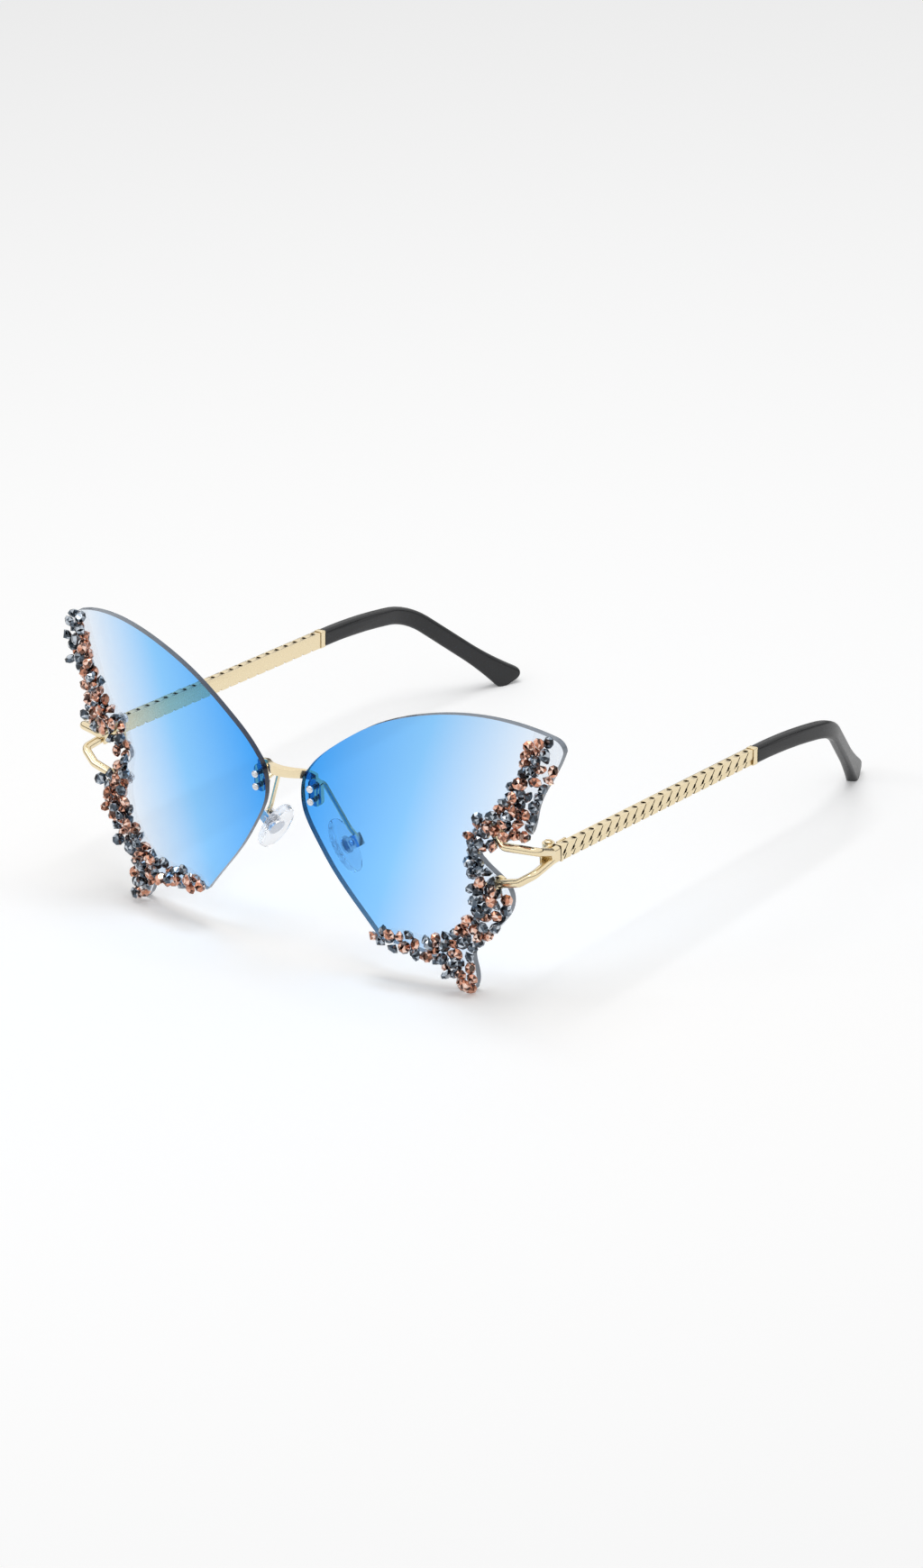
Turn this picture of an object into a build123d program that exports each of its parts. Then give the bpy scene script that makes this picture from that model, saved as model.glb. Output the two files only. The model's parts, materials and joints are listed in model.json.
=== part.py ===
from build123d import *
import math
import os
import random

# Butterfly sunglasses: two wrapped rimless lenses with crystal trim, a bowed bridge with
# nose pads, forked end pieces, hinged chain pattern temples and bent temple tips.
# Millimetres. +X is to the right in a front view, -Y faces forward and +Z is up.
# The right hand pieces are modelled, and the left hand ones are their mirror images.

# Lenses
lens_width = 67.0
lens_height = 70.0
lens_gap = 10.6
lens_thickness = 1.6
lens_wrap_radius = 200.0
cut_overrun = 1.0

# Lens outline, as shares of the lens width from its inner edge and of the lens height:
# inner edge, top, wing tip, outer edge, wing corner, notch, lower wing, tail and bottom
lens_edge_shares = [
    [(0.306, 0.129), (0.233, 0.214), (0.113, 0.357), (0.058, 0.441), (0.022, 0.503), (0.004, 0.552),
     (0.000, 0.595), (0.007, 0.646), (0.034, 0.694)],
    [(0.034, 0.694), (0.078, 0.744), (0.154, 0.806), (0.318, 0.909), (0.500, 0.974), (0.700, 1.000),
     (0.867, 0.981), (0.962, 0.950)],
    [(0.962, 0.950), (0.990, 0.930), (1.000, 0.900)],
    [(1.000, 0.900), (0.981, 0.851), (0.954, 0.797), (0.925, 0.745), (0.904, 0.694), (0.893, 0.644),
     (0.882, 0.606)],
    [(0.882, 0.606), (0.871, 0.590), (0.850, 0.580)],
    [(0.850, 0.580), (0.787, 0.562), (0.721, 0.541), (0.702, 0.532)],
    [(0.702, 0.532), (0.691, 0.512), (0.704, 0.483)],
    [(0.704, 0.483), (0.736, 0.451), (0.773, 0.418), (0.797, 0.385), (0.804, 0.347), (0.793, 0.302),
     (0.765, 0.261), (0.733, 0.225), (0.698, 0.193), (0.672, 0.168)],
    [(0.672, 0.168), (0.657, 0.127), (0.664, 0.085), (0.668, 0.048), (0.662, 0.018)],
    [(0.662, 0.018), (0.646, 0.000), (0.628, 0.010)],
    [(0.628, 0.010), (0.612, 0.026), (0.593, 0.062), (0.563, 0.091), (0.512, 0.103), (0.443, 0.118),
     (0.376, 0.124), (0.306, 0.129)],
]
band_first_run = 2
# Inner border of the crystal band, from the wing tip down to the lower inner corner
band_inner_shares = [
    (0.905, 0.960), (0.880, 0.890), (0.850, 0.824), (0.820, 0.762), (0.793, 0.705), (0.757, 0.671),
    (0.712, 0.657), (0.687, 0.626), (0.676, 0.581), (0.657, 0.531), (0.667, 0.482), (0.682, 0.431),
    (0.682, 0.368), (0.672, 0.312), (0.631, 0.246), (0.588, 0.210), (0.533, 0.184), (0.473, 0.178),
    (0.399, 0.187), (0.331, 0.178), (0.285, 0.154),
]
# Far side of the crystal band, well outside the lens
band_outer_shares = [(0.200, -0.200), (1.300, -0.200), (1.300, 1.200), (0.930, 1.200)]

# Crystals: pointed back stones heaped along the band, and the clear bed that they stand in
bed_thickness = 0.35
bed_margin = 0.5
crystal_diameter = 2.5
crystal_girdle = 0.15
crystal_crown = 0.5
crystal_pavilion = 1.05
crystal_table_share = 0.55
crystal_sides = 8
crystal_gap = 0.03
crystal_heap = 2.3
crystal_edge_share = 0.04
crystal_row_share = 0.3
crystal_row_step = 0.25
crystal_pitch = 2.58
crystal_heap_tries = 4500
crystal_tilt_limit = 75.0
crystal_prong_steps = 6
copper_share = 0.45
crystal_seeds = {"right": 11, "left": 29}

# Screws through the lenses
screw_radius = 0.55
screw_head_radius = 0.95
screw_head_height = 0.6
screw_dome_share = 0.7
screw_slot_width = 0.3
screw_slot_depth = 0.25
screw_end_length = 0.3
screw_clearance = 0.05
nut_radius = 1.15
nut_height = 1.1
nut_round_share = 0.3
washer_radius = 1.6
washer_thickness = 0.3

# Bridge
bridge_height = 2.1
bridge_depth = 1.0
bridge_swell = 0.8
bridge_bow = 2.9
bridge_rise = 4.8
bridge_drop = 1.2
bridge_overlap = 0.5
# Bar from the right end to the middle: shares of the half span, the bow and the drop
bridge_bar_shares = [(-1.0, 0.0, 1.0), (-0.66, 0.03, 0.62), (-0.46, 0.52, 0.27), (-0.2, 0.93, 0.03)]
foot_inset = 2.8
foot_height_share = 0.601
foot_width = 3.6
foot_thickness = 1.2
foot_top_margin = 0.2
foot_screw_spacing = 3.2
seat_clearance = 0.05

# Nose pads
pad_length = 13.6
pad_width = 8.2
pad_thickness = 2.2
pad_edge_round = 0.9
pad_splay_angle = 31.0
pad_turn_angle = 12.0
pad_pivot_x = 12.5
pad_pivot_y = 9.9
pad_drop = 14.4
pad_back_offset = 1.5
insert_disc_radius = 2.1
insert_disc_thickness = 0.7
insert_cover = 0.5
tab_thickness = 1.2
tab_radius = 1.0
box_slot_clearance = 0.1
box_cheek = 0.65
box_wall = 0.7
box_half_length = 1.5
box_mouth = 0.9
pad_screw_radius = 0.4
pad_screw_head_radius = 0.8
pad_screw_head_height = 0.45
pad_screw_clearance = 0.05
arm_radius = 0.55
arm_overlap = 0.3
arm_back_y = 7.0
arm_back_x = 6.2
arm_back_rise = 1.1
arm_low_y = 9.6
arm_low_x = 11.7
arm_low_rise = 3.5
arm_bend_radius = 1.7

# Forked end pieces, with the screws and the prongs' bends as shares of the lens
upper_screw_shares = (0.766, 0.609)
lower_screw_shares = (0.745, 0.400)
upper_prong_shares = [(0.775, 0.585), (0.800, 0.563), (0.913, 0.557)]
lower_prong_shares = [(0.770, 0.415), (0.848, 0.438), (0.902, 0.474)]
prong_radius = 1.05
prong_lift = 1.3
prong_stand_off = 3.0
prong_bend_radius = 1.6
prong_meeting_length = 3.2
prong_block_round = 0.8
prong_spread = 1.0
fork_foot_radius = 1.6
fork_foot_thickness = 0.9

# Hinges
hinge_inset = 8.7
hinge_set_back = 4.35
hinge_height_share = 0.498
barrel_radius = 1.5
barrel_hole_clearance = 0.05
knuckle_height = 1.3
knuckle_gap = 0.08
hinge_height = 4.2
hinge_leaf_thickness = 0.6
hinge_leaf_length = 3.2
hinge_split_gap = 0.3
hinge_screw_radius = 0.6
hinge_screw_head_radius = 1.0
hinge_screw_head_height = 0.45
leaf_clearance = 0.1

# Temples
temple_height = 3.9
temple_plate = 1.0
temple_relief = 0.95
temple_fall_angle = 3.65
temple_closing_angle = 1.02
link_count = 22
link_pitch = 3.45
link_slant = 52.0
link_groove = 0.4
link_slot_length = 1.7
link_slot_width = 0.75
# Each link's steps: shares of the height from and to, of the pitch along and of the relief
link_step_shares = [(-0.10, 0.50, 0.0, 1.0), (-0.50, -0.10, 0.5, 0.7)]
lead_length = 1.2
edge_notch_radius = 0.45
pocket_length = 0.95
pocket_width = 1.3
pocket_depth = 1.1
pocket_wall = 0.35
collar_length = 1.6
collar_height = 4.3
collar_thickness = 2.3
collar_round = 0.3

# Black temple tips and the flat wire cores inside them
tip_height = 4.3
tip_thickness = 2.5
tip_corner_share = 0.36
tip_lead_length = 24.6
tip_lead_pitch = 12.0
tip_bend_length = 13.0
tip_pitch = 41.0
tip_lean = 25.0
tip_step = 2.0
tip_flare_length = 17.0
tip_end_height = 0.75
tip_end_slant = 26.0
tip_end_round = 1.8
# Growth at the end, as shares of the height and of the thickness
tip_flare_share = 0.64
tip_swell_share = 0.2
core_height = 2.3
core_thickness = 1.0
core_corner = 0.3
core_clearance = 0.05
core_length = 44.0
tip_clearance = 0.05


# Places on the wrapped lens

def outline_point(shares):
    """Point of the front view, in the plane y = 0."""
    across_share, height_share = shares
    return Vector(lens_gap / 2 + across_share * lens_width, 0, height_share * lens_height)


def outline_points(table):
    return [outline_point(shares) for shares in table]


def wrap_angle(x):
    return math.asin(x / lens_wrap_radius)


def front_y(x):
    """Where the lens front stands at x."""
    return lens_wrap_radius - math.sqrt(lens_wrap_radius ** 2 - x ** 2)


def on_lens(x, z, lift):
    """Plane on the lens, lifted off its front face along the outward normal."""
    angle = wrap_angle(x)
    normal = Vector(math.sin(angle), -math.cos(angle), 0)
    across = Vector(math.cos(angle), math.sin(angle), 0)
    return Plane(Vector(x, front_y(x), z) + normal * lift, x_dir=across, z_dir=normal)


def rind(outline, low_lift, high_lift):
    """The wrapped sheet under a front view outline, between two lifts off the lens front."""
    slab_front = high_lift + cut_overrun
    slab_depth = slab_front + front_y(lens_gap / 2 + lens_width) + abs(low_lift) + cut_overrun
    slab = Pos(0, -slab_front, 0) * extrude(outline, slab_depth, dir=(0, 1, 0))
    centre = Pos(0, lens_wrap_radius, lens_height / 2)
    outer = centre * Cylinder(lens_wrap_radius + high_lift, 2 * lens_height)
    inner = centre * Cylinder(lens_wrap_radius + low_lift, 4 * lens_height)
    return (slab & outer) - inner


def front_view(*edges):
    """Face in the plane y = 0 within a loop of edges."""
    return make_face(Wire(edges))


def lens_outline():
    runs = [outline_points(run) for run in lens_edge_shares]
    arc_points = 3
    return front_view(*[ThreePointArc(*run) if len(run) == arc_points else Spline(run) for run in runs])


def stadium(start, end, radius):
    """Front view outline of a plate with round ends, from one point to another."""
    along = (end - start).normalized()
    side = Vector(-along.Z, 0, along.X) * radius
    cap = along * radius
    return front_view(
        Line(start + side, end + side),
        ThreePointArc(end + side, end + cap, end - side),
        Line(end - side, start - side),
        ThreePointArc(start - side, start - cap, start + side),
    )


def flat_point(x, z):
    return Vector(x, 0, z)


# Screws, nuts and washers

def slotted_screw(shank_radius, shank_length, head_radius, head_height):
    """Screw with its head seated on z = 0 and its shank below."""
    head = Cylinder(head_radius, head_height, align=(Align.CENTER, Align.CENTER, Align.MIN))
    head = fillet(head.edges().sort_by(Axis.Z)[-1], head_height * screw_dome_share)
    slot = Pos(0, 0, head_height) * Box(2 * head_radius, screw_slot_width, 2 * screw_slot_depth)
    shank = Cylinder(shank_radius, shank_length, align=(Align.CENTER, Align.CENTER, Align.MAX))
    return head - slot + shank


bridge_grip = lens_thickness + foot_thickness
fork_grip = lens_thickness + fork_foot_thickness + washer_thickness
foot_x = lens_gap / 2 + foot_inset
foot_z = lens_height * foot_height_share
foot_screw_high_z = foot_z + foot_screw_spacing / 2
foot_screw_low_z = foot_z - foot_screw_spacing / 2
bridge_screw_spots = [(foot_x, foot_screw_high_z), (foot_x, foot_screw_low_z)]
fork_screws = outline_points([upper_screw_shares, lower_screw_shares])
fork_screw_spots = [(screw.X, screw.Z) for screw in fork_screws]


def screw_group(spots, seat_lift, grip):
    length = grip + nut_height + screw_end_length
    screw = slotted_screw(screw_radius, length, screw_head_radius, screw_head_height)
    return [on_lens(x, z, seat_lift).location * screw for x, z in spots]


def nut_group(spots, seat_lift, grip):
    nut = Cylinder(nut_radius, nut_height, align=(Align.CENTER, Align.CENTER, Align.MAX))
    nut = fillet(nut.edges().sort_by(Axis.Z)[0], nut_height * nut_round_share)
    nut -= Cylinder(screw_radius + screw_clearance, 4 * nut_height)
    return [on_lens(x, z, seat_lift - grip - seat_clearance).location * nut for x, z in spots]


def washer_group(spots):
    washer = Cylinder(washer_radius, washer_thickness)
    washer -= Cylinder(screw_radius + screw_clearance, 2 * washer_thickness)
    lift = -lens_thickness - seat_clearance / 2 - washer_thickness / 2
    return [on_lens(x, z, lift).location * washer for x, z in spots]


def drill(body, spots):
    """Holes for the screws, square to the lens."""
    for x, z in spots:
        body -= on_lens(x, z, 0).location * Cylinder(screw_radius + screw_clearance, 6 * lens_thickness)
    return body


# Lenses and bridge

def lens():
    return drill(rind(lens_outline(), -lens_thickness, 0), bridge_screw_spots + fork_screw_spots)


def foot_outline():
    low = flat_point(foot_x, foot_screw_low_z)
    high = flat_point(foot_x, foot_screw_high_z + foot_top_margin)
    return stadium(low, high, foot_width / 2)


def strip(one, other):
    """Face between two curves through like rows of points."""
    back = other[::-1]
    return make_face(Wire([Spline(one), Line(one[-1], back[0]), Spline(back), Line(back[-1], one[0])]))


def bridge():
    """Bowed bar between the lenses, stoutest in the middle, with a drilled foot behind each lens."""
    rows = bridge_bar_shares + [(0, 1, 0)]
    rows += [(-across, bow, drop) for across, bow, drop in reversed(bridge_bar_shares)]
    end_x = foot_x + bridge_overlap
    top_z = foot_z + bridge_rise + bridge_height / 2
    bar_back_y = front_y(foot_x) + lens_thickness + seat_clearance + bridge_depth
    back = [Vector(across * end_x, bar_back_y - bow * bridge_bow, 0) for across, bow, drop in rows]
    front = [point - Vector(0, bridge_depth + row[1] * bridge_swell, 0) for point, row in zip(back, rows)]
    top = [Vector(across * end_x, 0, top_z - drop * bridge_drop) for across, bow, drop in rows]
    bottom = [point - Vector(0, 0, bridge_height) for point in top]
    tall = extrude(strip(back, front), lens_height, dir=(0, 0, 1))
    deep = Pos(0, -lens_gap, 0) * extrude(strip(top, bottom), 2 * lens_gap, dir=(0, 1, 0))
    bar = tall & deep
    foot = rind(foot_outline(), -lens_thickness - foot_thickness, -lens_thickness)
    foot = drill(foot, bridge_screw_spots)
    return bar + foot + mirror(foot, about=Plane.YZ)


# Nose pads

splay = math.radians(pad_splay_angle)
pad_pivot = Vector(pad_pivot_x, pad_pivot_y, foot_z - pad_drop)
pad_turn = math.radians(pad_turn_angle)
pad_inward = Vector(-math.cos(splay), 0, -math.sin(splay))
pad_plane = Plane(
    pad_pivot,
    x_dir=Vector(math.sin(splay), 0, -math.cos(splay)),
    z_dir=pad_inward * math.cos(pad_turn) - Vector(0, math.sin(pad_turn), 0),
)
box_slot = tab_thickness + 2 * box_slot_clearance
box_width = box_slot + 2 * box_cheek
box_back = tab_radius + box_slot_clearance + box_wall


def bench_cylinder(radius, length):
    """Cylinder along the pad screw, in the pad's own axes."""
    return Rot(90, 0, 0) * Cylinder(radius, length)


def insert_blank(extra):
    """Metal tab with a round plate that the pad is moulded round."""
    plate_low = pad_back_offset + insert_cover
    plate = Pos(0, 0, plate_low - extra) * Cylinder(
        insert_disc_radius + extra, insert_disc_thickness + 2 * extra,
        align=(Align.CENTER, Align.CENTER, Align.MIN))
    tab = Box(2 * (tab_radius + extra), tab_thickness + 2 * extra, plate_low,
              align=(Align.CENTER, Align.CENTER, Align.MIN))
    return plate + tab + bench_cylinder(tab_radius + extra, tab_thickness + 2 * extra)


def pad_insert():
    blank = insert_blank(0) - bench_cylinder(pad_screw_radius + pad_screw_clearance, 2 * tab_thickness)
    return pad_plane.location * blank


def nose_pad():
    body = extrude(Ellipse(pad_length / 2, pad_width / 2), pad_thickness)
    body = fillet(body.edges(), pad_edge_round)
    body = Pos(0, 0, pad_back_offset) * body
    return pad_plane.location * (body - insert_blank(seat_clearance))


def pad_box():
    """Small clevis that holds the pad's tab."""
    depth = box_back + box_mouth
    block = Pos(0, 0, box_mouth) * Box(
        2 * box_half_length, box_width, depth, align=(Align.CENTER, Align.CENTER, Align.MAX))
    slot_depth = box_mouth + tab_radius + box_slot_clearance
    slot = Pos(0, 0, box_mouth) * Box(
        3 * box_half_length, box_slot, 2 * slot_depth)
    block -= slot
    block -= bench_cylinder(pad_screw_radius + pad_screw_clearance, 2 * box_width)
    return pad_plane.location * block


def pad_screw():
    shank = box_width - screw_slot_depth / 2
    screw = slotted_screw(pad_screw_radius, shank, pad_screw_head_radius, pad_screw_head_height)
    return pad_plane.location * (Pos(0, box_width / 2 + seat_clearance, 0) * Rot(-90, 0, 0) * screw)


def tube(points, radius, bend_radius):
    """Round wire along straight runs with tangent bends."""
    path = FilletPolyline(points, radius=bend_radius)
    start = path @ 0
    section = Plane(start, z_dir=path % 0) * Circle(radius)
    return sweep(section, path=path)


def pad_arm():
    """Wire from the edge of the bridge foot, back and down to the box."""
    foot_back = front_y(foot_x) + lens_thickness + foot_thickness / 2
    top_of_box = pad_plane.from_local_coords(Vector(-box_half_length / 2, 0, -box_back + box_wall / 2))
    return tube([
        Vector(foot_x - foot_width / 2 + arm_overlap, foot_back, foot_z),
        Vector(arm_back_x, arm_back_y, foot_z + arm_back_rise),
        Vector(arm_low_x, arm_low_y, pad_pivot.Z + arm_low_rise),
        top_of_box,
    ], arm_radius, arm_bend_radius)


# Forked end pieces

lens_reach = lens_gap / 2 + lens_width
hinge_x = lens_reach - hinge_inset
hinge_y = front_y(lens_reach) + hinge_set_back
hinge_z = lens_height * hinge_height_share
temple_inner_x = hinge_x + barrel_radius + leaf_clearance
temple_thickness = temple_plate + temple_relief
temple_centre_x = temple_inner_x + temple_thickness / 2
block_end_y = hinge_y - hinge_split_gap / 2
meeting_y = block_end_y - prong_meeting_length


def prong_points(shares):
    """Places along a prong from its start on the lens: the first on the foot, the rest bowed forward."""
    lifts = [prong_lift] + [prong_stand_off] * (len(shares) - 1)
    flats = outline_points(shares)
    return [on_lens(flat.X, flat.Z, lift).origin for flat, lift in zip(flats, lifts)]


def fork_foot(screw, prong_shares):
    outline = stadium(screw, outline_point(prong_shares[0]), fork_foot_radius)
    return drill(rind(outline, 0, fork_foot_thickness), fork_screw_spots)


def end_piece():
    """Two prongs from the lens front, bowed outward and back into one block."""
    fork = Box(
        temple_thickness, prong_meeting_length, temple_height, align=(Align.CENTER, Align.MAX, Align.CENTER))
    fork = fillet(fork.edges().filter_by(Axis.Y), prong_block_round)
    fork = Pos(temple_centre_x, block_end_y, hinge_z) * fork
    block_front = Vector(temple_centre_x, meeting_y + prong_radius, hinge_z)
    for screw, shares, side in zip(fork_screws, (upper_prong_shares, lower_prong_shares), (1, -1)):
        meeting = block_front + Vector(0, 0, side * prong_spread)
        fork += tube(prong_points(shares) + [meeting], prong_radius, prong_bend_radius)
        fork += fork_foot(screw, shares)
    return fork


# Hinges

def hinge_level(low, high):
    """Height and middle of a stretch of the hinge, from its bottom."""
    bottom = hinge_z - hinge_height / 2
    return high - low, bottom + (low + high) / 2


middle_low = knuckle_height + knuckle_gap
middle_high = hinge_height - knuckle_height - knuckle_gap


def knuckle(low, high, web_low_y, web_high_y):
    """Drilled barrel with a web towards the end piece or the temple."""
    height, middle = hinge_level(low, high)
    barrel = Pos(hinge_x, hinge_y, middle) * Cylinder(barrel_radius, height)
    web = Pos(hinge_x, web_low_y, middle) * Box(
        temple_inner_x - hinge_x, web_high_y - web_low_y, height,
        align=(Align.MIN, Align.MIN, Align.CENTER))
    return barrel + web


def hinge_bore():
    bore = Cylinder(hinge_screw_radius + barrel_hole_clearance, 3 * hinge_height)
    return Pos(hinge_x, hinge_y, hinge_z) * bore


def front_hinge():
    leaf_end_y = hinge_y - barrel_radius - leaf_clearance
    leaf = Pos(temple_inner_x, leaf_end_y, hinge_z) * Box(
        hinge_leaf_thickness, hinge_leaf_length, hinge_height,
        align=(Align.MAX, Align.MAX, Align.CENTER))
    web_end_y = hinge_y - leaf_clearance
    lower = knuckle(0, knuckle_height, leaf_end_y, web_end_y)
    upper = knuckle(hinge_height - knuckle_height, hinge_height, leaf_end_y, web_end_y)
    block_reach = prong_meeting_length
    seat = Pos(temple_inner_x, block_end_y, hinge_z) * Box(
        temple_thickness, 4 * block_reach, 4 * hinge_height,
        align=(Align.MIN, Align.CENTER, Align.CENTER))
    return leaf + lower + upper - hinge_bore() - seat


def temple_hinge():
    leaf_start_y = hinge_y + barrel_radius + leaf_clearance
    leaf = Pos(temple_inner_x, leaf_start_y, hinge_z) * Box(
        2 * hinge_leaf_thickness, hinge_leaf_length, temple_height - leaf_clearance,
        align=(Align.CENTER, Align.MIN, Align.CENTER))
    middle = knuckle(middle_low, middle_high, hinge_y + leaf_clearance, leaf_start_y + leaf_clearance)
    return (leaf + middle - hinge_bore()) - temple_envelope()


def hinge_screw():
    screw = slotted_screw(hinge_screw_radius, hinge_height, hinge_screw_head_radius, hinge_screw_head_height)
    return Pos(hinge_x, hinge_y, hinge_z + hinge_height / 2 + seat_clearance) * screw


# Temples, built along their own length: x runs back, y runs inward and z runs up

fall = math.radians(temple_fall_angle)
closing = math.radians(temple_closing_angle)
level_direction = Vector(-math.sin(closing), math.cos(closing), 0)
temple_direction = level_direction * math.cos(fall) - Vector(0, 0, math.sin(fall))
temple_plane = Plane(
    Vector(temple_centre_x, hinge_y + hinge_split_gap / 2, hinge_z),
    x_dir=temple_direction,
    z_dir=Vector(0, 0, 1) - temple_direction * temple_direction.Z,
)
chain_length = lead_length + link_count * link_pitch
inner_face_y = temple_thickness / 2
outer_face_y = -temple_thickness / 2


def temple_envelope():
    return temple_plane.location * Box(
        chain_length + collar_length, temple_thickness, 2 * temple_height,
        align=(Align.MIN, Align.CENTER, Align.CENTER))


def link_lean(z):
    """How far back the slant carries a place at this height."""
    return z / math.tan(math.radians(link_slant))


def link_step(low_share, high_share, along_share, relief_share):
    """Slanted block of one link, standing off the plate."""
    half = (link_pitch - link_groove) / 2
    low, high = low_share * temple_height, high_share * temple_height
    ends = [(-half, low), (half, low), (half, high), (-half, high)]
    corners = [(x + link_lean(z) + along_share * link_pitch, z) for x, z in ends]
    outline = make_face(Polyline(*corners, close=True))
    return Rot(90, 0, 0) * extrude(outline, temple_relief * relief_share)


def temple():
    """Casting with slanted links in relief outside, pockets along its top and a scalloped lower edge."""
    plate = Pos(0, inner_face_y, 0) * Box(
        chain_length, temple_plate, temple_height, align=(Align.MIN, Align.MAX, Align.CENTER))
    lead = Box(lead_length, temple_thickness, temple_height, align=(Align.MIN, Align.CENTER, Align.CENTER))
    steps = [link_step(*shares) for shares in link_step_shares]
    slot = extrude(Rot(0, 0, link_slant) * SlotOverall(link_slot_length, link_slot_width), temple_relief)
    slot = Rot(90, 0, 0) * slot
    notch = Rot(90, 0, 0) * Cylinder(edge_notch_radius, 2 * temple_thickness)
    pocket = extrude(Rot(0, 0, 90) * SlotOverall(pocket_width, pocket_length), 2 * pocket_depth)
    pocket = Pos(0, inner_face_y - pocket_wall - pocket_width / 2, temple_height / 2 - pocket_depth) * pocket
    links = []
    cuts = []
    for index in range(-1, link_count + 1):
        along = lead_length + (index + 0.5) * link_pitch
        links += [Pos(along, inner_face_y - temple_plate, 0) * step for step in steps]
        if index < link_count - 1:
            cuts.append(Pos(along + link_pitch / 2, inner_face_y - temple_plate, 0) * slot)
            cuts.append(Pos(along + link_pitch / 2, 0, -temple_height / 2) * notch)
            cuts.append(Pos(along + link_pitch / 2 + link_lean(temple_height / 2), 0, 0) * pocket)
    extent = Box(
        chain_length, 2 * temple_thickness, temple_height, align=(Align.MIN, Align.CENTER, Align.CENTER))
    body = ((plate + links) & extent) + lead
    return temple_plane.location * (body - cuts)


def collar():
    """Smooth ferrule between the chain and the black tip."""
    body = Pos(chain_length, 0, 0) * Box(
        collar_length, collar_thickness, collar_height, align=(Align.MIN, Align.CENTER, Align.CENTER))
    return temple_plane.location * fillet(body.edges().filter_by(Axis.X), collar_round)


tip_start = temple_plane.from_local_coords(Vector(chain_length + collar_length + tip_clearance, 0, 0))


def ramp(low, high, share):
    """Even climb from low to high as the share goes from 0 to 1, level before and after."""
    return low + (high - low) * min(1, max(0, share))


def tip_route():
    """Planes square to the tip's middle line, a step apart, until they are well through the floor."""
    route = []
    place = tip_start
    along = 0
    while place.Z > -tip_height:
        bend_share = (along - tip_lead_length) / tip_bend_length
        lead_pitch = ramp(temple_fall_angle, tip_lead_pitch, along / tip_lead_length)
        pitch = math.radians(lead_pitch + ramp(0, tip_pitch - tip_lead_pitch, bend_share))
        lean = math.radians(ramp(temple_closing_angle, tip_lean, bend_share))
        level = Vector(-math.sin(lean), math.cos(lean), 0)
        forward = level * math.cos(pitch) - Vector(0, 0, math.sin(pitch))
        side = Vector(math.cos(lean), math.sin(lean), 0)
        route.append(Plane(place, x_dir=side, z_dir=forward))
        place = place + forward * tip_step
        along += tip_step
    return route


def tip_loft(planes, thickness, height, corner, growth):
    """Solid through a rounded section at each plane. Growth is the share of the flare reached there."""
    sections = []
    for plane, share in zip(planes, growth):
        wide, tall = thickness * (1 + share * tip_swell_share), height * (1 + share * tip_flare_share)
        sections.append(plane * RectangleRounded(wide, tall, corner))
    return loft(sections, ruled=True)


def tip_trim(end, forward, across):
    """Waste beyond the tip's end, which is a slanted line with rounded corners."""
    slant = math.radians(tip_end_slant)
    facing = forward.rotate(Axis((0, 0, 0), across), -tip_end_slant)
    half = tip_height * (1 + tip_flare_share) / math.cos(slant) / 2
    corners = [Vector(0, half, 0), Vector(0, -half, 0)]
    back = Vector(math.cos(slant), math.sin(slant), 0) * tip_end_round * 2
    kept = make_face(Polyline(*corners, *[corner - back for corner in corners[::-1]], close=True))
    kept = fillet(kept.vertices().sort_by(Axis.X)[-2:], tip_end_round)
    reach = 8 * tip_height
    away = Pos(-back.X, 0, 0) * Rectangle(reach, reach, align=(Align.MIN, Align.CENTER))
    waste = extrude(away - kept, 2 * tip_thickness, both=True)
    return Plane(end, x_dir=facing, z_dir=across).location * waste


def temple_tip():
    """Flared sleeve over the core, rounded off at its end and cut level where it rests."""
    planes = tip_route()
    last = [plane for plane in planes if plane.origin.Z > tip_end_height][-1]
    forward = last.z_dir
    end = last.origin + forward * ((last.origin.Z - tip_end_height) / abs(forward.Z))
    growth = [ramp(0, 1, 1 + (plane.origin - end).dot(forward) / tip_flare_length) ** 2 for plane in planes]
    body = tip_loft(planes, tip_thickness, tip_height, tip_thickness * tip_corner_share, growth)
    body -= tip_trim(end, forward, last.x_dir)
    below = Pos(end.X, end.Y, 0) * Box(
        4 * tip_height, 8 * tip_height, 8 * tip_height, align=(Align.CENTER, Align.CENTER, Align.MAX))
    return body - below - core_loft(core_clearance)


def core_loft(extra):
    planes = tip_route()[:int(core_length / tip_step) + 1]
    thickness, height = core_thickness + 2 * extra, core_height + 2 * extra
    return tip_loft(planes, thickness, height, core_corner + extra, [0] * len(planes))


def tip_core():
    return core_loft(0)


# Crystals

crystal_ball = max(crystal_diameter / 2, crystal_girdle / 2 + crystal_pavilion)
crystal_spacing = 2 * crystal_ball + crystal_gap
prong_spacing = crystal_ball + prong_radius + crystal_gap


def crystal():
    """Pointed back stone about its own centre: table up, point down."""
    def ring(radius, z):
        turns = [2 * math.pi * side / crystal_sides for side in range(crystal_sides)]
        return [Vector(radius * math.cos(turn), radius * math.sin(turn), z) for turn in turns]

    radius = crystal_diameter / 2
    half = crystal_girdle / 2
    table = ring(radius * crystal_table_share, half + crystal_crown)
    upper = ring(radius, half)
    lower = ring(radius, -half)
    point = Vector(0, 0, -half - crystal_pavilion)
    faces = [Face(Wire.make_polygon(table))]
    for side in range(crystal_sides):
        after = (side + 1) % crystal_sides
        faces.append(Face(Wire.make_polygon([table[side], upper[side], upper[after], table[after]])))
        faces.append(Face(Wire.make_polygon([upper[side], lower[side], lower[after], upper[after]])))
        faces.append(Face(Wire.make_polygon([lower[side], point, lower[after]])))
    return Solid(Shell(faces))


def distance_to_segment(point, start, end):
    along = end - start
    share = (point - start).dot(along) / along.dot(along)
    return (point - start - along * min(1, max(0, share))).length


def band_edge_points():
    """The lens edge along the band, from the wing tip down to the lower inner corner."""
    return [point for run in lens_edge_shares[band_first_run:] for point in outline_points(run[:-1])]


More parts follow.
